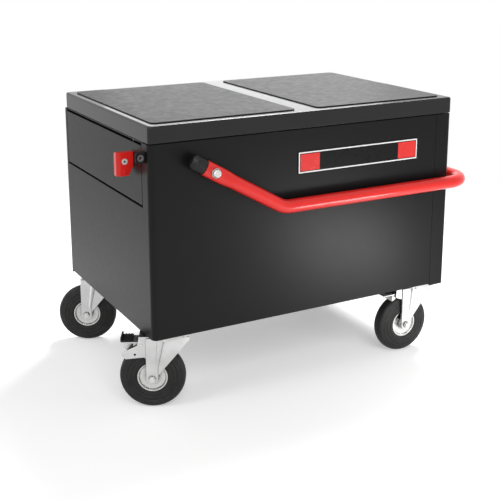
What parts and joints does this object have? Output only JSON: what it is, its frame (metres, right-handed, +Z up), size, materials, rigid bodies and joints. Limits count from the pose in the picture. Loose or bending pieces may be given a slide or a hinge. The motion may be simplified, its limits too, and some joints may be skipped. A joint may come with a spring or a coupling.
{
  "type": "rolling tool cabinet",
  "caption": "Black steel rolling tool chest with lift-up lid, lockable end drawer, fold-over push handle and swivel caster wheels.",
  "frame": {"origin": "centre of the bounding box at floor level", "axes": "+Z up, +X along the length from the drawer end to the end where the handle is stowed, -Y towards the long face with the plate"},
  "size_m": [1.0181, 0.7022, 0.7425],
  "materials": {
    "black_powder_coat": "satin",
    "black_plastic": "satin",
    "zinc_plate": "satin",
    "red_paint": "gloss",
    "black_rubber": "matte",
    "tyre_rubber": "matte",
    "plate_face": "gloss",
    "chrome": "polished",
    "white_metal": "satin"
  },
  "bodies": {
    "chassis": {"front_left_panel": "black_powder_coat", "back_right_panel": "black_powder_coat", "floor_pan": "black_powder_coat", "base_channels": "black_powder_coat", "top_frame": "black_powder_coat", "lid_seal": "black_rubber", "drawer_housing": "black_powder_coat", "drawer_runners_fixed": "zinc_plate", "hinge_leaf_body": "black_powder_coat", "hinge_pin": "zinc_plate", "hinge_rivets_body": "zinc_plate", "security_eye": "black_powder_coat", "security_eyelet": "zinc_plate", "name_plate": "plate_face", "pivot_bolts": "chrome", "pivot_spacers": "zinc_plate", "handle_pivot_plates": "black_powder_coat", "handle_rest": "black_powder_coat", "handle_rest_pad": "black_rubber", "caster_top_plates": "zinc_plate", "caster_ball_cages": "zinc_plate", "caster_king_pins": "zinc_plate", "caster_bolts": "zinc_plate"},
    "lid": {"lid_pan": "black_powder_coat", "lid_stiffeners": "black_powder_coat", "lid_mat_left": "black_rubber", "lid_mat_right": "black_rubber", "hinge_leaf_lid": "black_powder_coat", "hinge_rivets_lid": "zinc_plate"},
    "drawer": {"drawer_front": "black_powder_coat", "drawer_tray": "black_powder_coat", "drawer_runners_moving": "zinc_plate", "lock_housing": "red_paint", "lock_rivet": "white_metal"},
    "key_cylinder": {"lock_cylinder": "white_metal"},
    "lock_bolt_slide": {"lock_bolt": "zinc_plate"},
    "handle": {"handle_tube": "red_paint", "handle_plugs": "black_plastic", "handle_bushes": "black_plastic"},
    "caster_front_left": {"fork_front_left": "zinc_plate", "axle_front_left": "zinc_plate"},
    "wheel_front_left": {"rim_front_left": "zinc_plate", "tyre_front_left": "tyre_rubber"},
    "brake_front_left": {"brake_pedal_front_left": "zinc_plate", "brake_pad_front_left": "black_plastic"},
    "caster_rear_left": {"fork_rear_left": "zinc_plate", "axle_rear_left": "zinc_plate"},
    "wheel_rear_left": {"rim_rear_left": "zinc_plate", "tyre_rear_left": "tyre_rubber"},
    "caster_front_right": {"fork_front_right": "zinc_plate", "axle_front_right": "zinc_plate"},
    "wheel_front_right": {"rim_front_right": "zinc_plate", "tyre_front_right": "tyre_rubber"},
    "brake_front_right": {"brake_pedal_front_right": "zinc_plate", "brake_pad_front_right": "black_plastic"},
    "caster_rear_right": {"fork_rear_right": "zinc_plate", "axle_rear_right": "zinc_plate"},
    "wheel_rear_right": {"rim_rear_right": "zinc_plate", "tyre_rear_right": "tyre_rubber"}
  },
  "joints": [
    {"name": "lid_hinge", "type": "hinge", "parent": "chassis", "child": "lid", "pos_m": [-0.007, 0.2995, 0.7005], "axis": [-1, 0, 0], "range_deg": [0, 97]},
    {"name": "drawer_slide", "type": "slide", "parent": "chassis", "child": "drawer", "axis": [-1, 0, 0], "range_m": [0, 0.29]},
    {"name": "key_turn", "type": "hinge", "parent": "drawer", "child": "key_cylinder", "pos_m": [-0.479, -0.205, 0.6405], "axis": [0, -1, 0], "range_deg": [0, 90]},
    {"name": "bolt_lift", "type": "slide", "parent": "drawer", "child": "lock_bolt_slide", "axis": [0, 0, 1], "range_m": [0, 0.00778]},
    {"name": "handle_swing", "type": "hinge", "parent": "chassis", "child": "handle", "pos_m": [-0.301, 0, 0.62], "axis": [0, -1, 0], "range_deg": [0, 200]},
    {"name": "swivel_front_left", "type": "hinge", "parent": "chassis", "child": "caster_front_left", "pos_m": [-0.3925, -0.2445, 0.1962], "axis": [0, 0, 1], "continuous": true},
    {"name": "roll_front_left", "type": "hinge", "parent": "caster_front_left", "child": "wheel_front_left", "pos_m": [-0.42782, -0.22572, 0.084], "axis": [-0.4695, -0.8829, 0], "continuous": true},
    {"name": "brake_press_front_left", "type": "hinge", "parent": "caster_front_left", "child": "brake_front_left", "pos_m": [-0.45077, -0.21352, 0.175], "axis": [-0.4695, -0.8829, 0], "range_deg": [0, 8]},
    {"name": "swivel_rear_left", "type": "hinge", "parent": "chassis", "child": "caster_rear_left", "pos_m": [-0.3925, 0.2445, 0.1962], "axis": [0, 0, 1], "continuous": true},
    {"name": "roll_rear_left", "type": "hinge", "parent": "caster_rear_left", "child": "wheel_rear_left", "pos_m": [-0.42782, 0.26328, 0.084], "axis": [-0.4695, -0.8829, 0], "continuous": true},
    {"name": "swivel_front_right", "type": "hinge", "parent": "chassis", "child": "caster_front_right", "pos_m": [0.3785, -0.2445, 0.1962], "axis": [0, 0, 1], "continuous": true},
    {"name": "roll_front_right", "type": "hinge", "parent": "caster_front_right", "child": "wheel_front_right", "pos_m": [0.3385, -0.2445, 0.084], "axis": [0, -1, 0], "continuous": true},
    {"name": "brake_press_front_right", "type": "hinge", "parent": "caster_front_right", "child": "brake_front_right", "pos_m": [0.3125, -0.2445, 0.175], "axis": [0, -1, 0], "range_deg": [0, 8]},
    {"name": "swivel_rear_right", "type": "hinge", "parent": "chassis", "child": "caster_rear_right", "pos_m": [0.3785, 0.2445, 0.1962], "axis": [0, 0, 1], "continuous": true},
    {"name": "roll_rear_right", "type": "hinge", "parent": "caster_rear_right", "child": "wheel_rear_right", "pos_m": [0.33937, 0.23618, 0.084], "axis": [0.2079, -0.9781, 0], "continuous": true}
  ],
  "couplings": [
    {"joint": "key_turn", "follows": "bolt_lift", "rad_per_m": 201.95}
  ]
}
